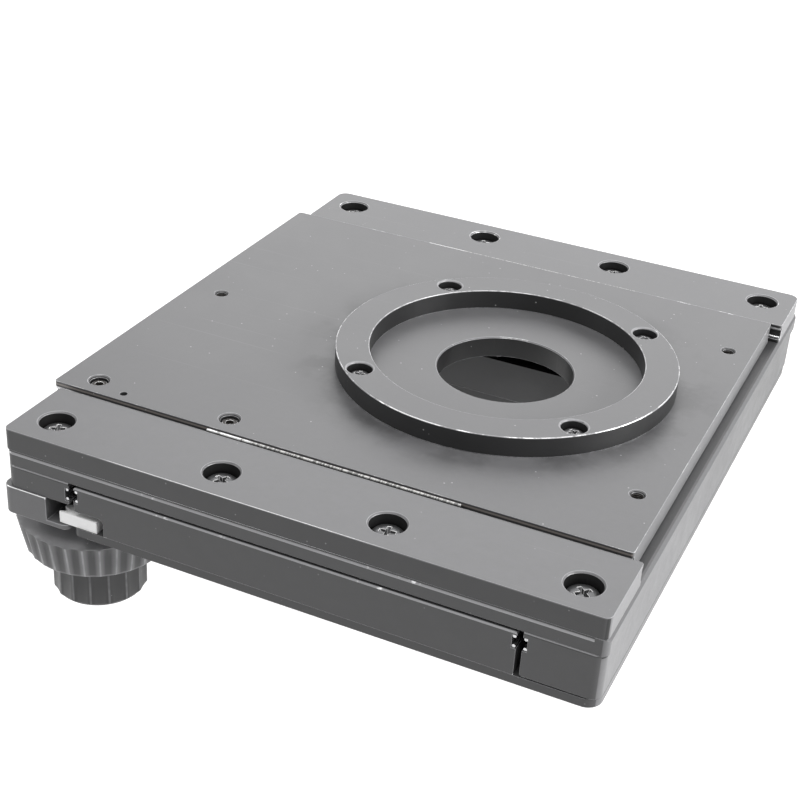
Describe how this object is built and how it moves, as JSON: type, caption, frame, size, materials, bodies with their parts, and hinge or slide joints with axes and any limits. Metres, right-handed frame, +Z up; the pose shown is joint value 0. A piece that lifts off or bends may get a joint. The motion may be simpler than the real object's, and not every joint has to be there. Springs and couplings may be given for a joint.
{
  "type": "microscope_stage",
  "caption": "Dark anodised mechanical microscope stage: a ring-topped plate slides on ball guides over a cross slide, driven by two coaxial fluted knobs under the left corner.",
  "frame": {"origin": "centre of the base at its underside, on the light path", "axes": "+X along the screwed rails, +Y to the back, +Z up"},
  "size_m": [0.1715, 0.189, 0.0633],
  "materials": {
    "dark_aluminium": "satin black anodised",
    "grey_aluminium": "satin dark grey anodised, lightly worn edges",
    "knob_aluminium": "satin dark grey anodised",
    "bright_steel": "machined steel",
    "ball_steel": "polished bearing steel",
    "bushing_brass": "turned brass",
    "washer_plastic": "natural low friction plastic"
  },
  "bodies": {
    "base": {"base_slab": "dark_aluminium", "bottom_plate": "dark_aluminium", "bottom_plate_screws": "bright_steel", "y_rack": "bright_steel", "y_rack_screws": "bright_steel", "base_wires": "bright_steel"},
    "y_carriage": {"middle_plate": "dark_aluminium", "left_block": "dark_aluminium", "right_block": "dark_aluminium", "block_screws": "bright_steel", "front_rail": "grey_aluminium", "back_rail": "grey_aluminium", "rail_screws": "bright_steel", "block_wires": "bright_steel", "rail_wires": "bright_steel", "knob_bracket": "dark_aluminium", "bracket_screws": "bright_steel", "shaft_bushing": "bushing_brass"},
    "x_carriage": {"x_plate": "grey_aluminium", "specimen_ring": "grey_aluminium", "ring_screws": "bright_steel", "x_rack": "bright_steel", "x_rack_screws": "bright_steel", "rack_pin": "bright_steel", "plate_wires": "bright_steel"},
    "x_cage_front": {"front_cage": "bright_steel", "front_balls": "ball_steel"},
    "x_cage_back": {"back_cage": "bright_steel", "back_balls": "ball_steel"},
    "y_cage_left": {"left_cage": "bright_steel", "left_balls": "ball_steel"},
    "y_cage_right": {"right_cage": "bright_steel", "right_balls": "ball_steel"},
    "y_knob": {"large_knob": "knob_aluminium", "outer_shaft": "bright_steel", "y_pinion": "bright_steel", "large_knob_screw": "bright_steel"},
    "x_knob": {"small_knob": "knob_aluminium", "inner_shaft": "bright_steel", "x_pinion": "bright_steel", "small_knob_screw": "bright_steel", "knob_washer": "washer_plastic", "end_cap": "knob_aluminium"}
  },
  "joints": [
    {"name": "y_slide", "type": "slide", "parent": "base", "child": "y_carriage", "axis": [0, 1, 0], "range_m": [-0.02, 0.02]},
    {"name": "x_slide", "type": "slide", "parent": "y_carriage", "child": "x_carriage", "axis": [1, 0, 0], "range_m": [-0.0433, 0.0067]},
    {"name": "x_cage_front_slide", "type": "slide", "parent": "y_carriage", "child": "x_cage_front", "axis": [1, 0, 0], "range_m": [-0.022, 0.0036]},
    {"name": "x_cage_back_slide", "type": "slide", "parent": "y_carriage", "child": "x_cage_back", "axis": [1, 0, 0], "range_m": [-0.022, 0.0036]},
    {"name": "y_cage_left_slide", "type": "slide", "parent": "base", "child": "y_cage_left", "axis": [0, 1, 0], "range_m": [-0.0102, 0.0102]},
    {"name": "y_cage_right_slide", "type": "slide", "parent": "base", "child": "y_cage_right", "axis": [0, 1, 0], "range_m": [-0.0102, 0.0102]},
    {"name": "y_knob_turn", "type": "hinge", "parent": "y_carriage", "child": "y_knob", "pos_m": [-0.069, -0.0721, 0], "axis": [0, 0, 1], "range_deg": [-232, 232]},
    {"name": "x_knob_turn", "type": "hinge", "parent": "y_carriage", "child": "x_knob", "pos_m": [-0.069, -0.0721, -0.02], "axis": [0, 0, 1], "range_deg": [-66, 416]}
  ],
  "couplings": [
    {"joint": "y_knob_turn", "follows": "y_slide", "rad_per_m": -200},
    {"joint": "x_knob_turn", "follows": "x_slide", "rad_per_m": -166.67},
    {"joint": "x_cage_front_slide", "follows": "x_slide", "ratio": 0.5},
    {"joint": "x_cage_back_slide", "follows": "x_slide", "ratio": 0.5},
    {"joint": "y_cage_left_slide", "follows": "y_slide", "ratio": 0.5},
    {"joint": "y_cage_right_slide", "follows": "y_slide", "ratio": 0.5}
  ]
}
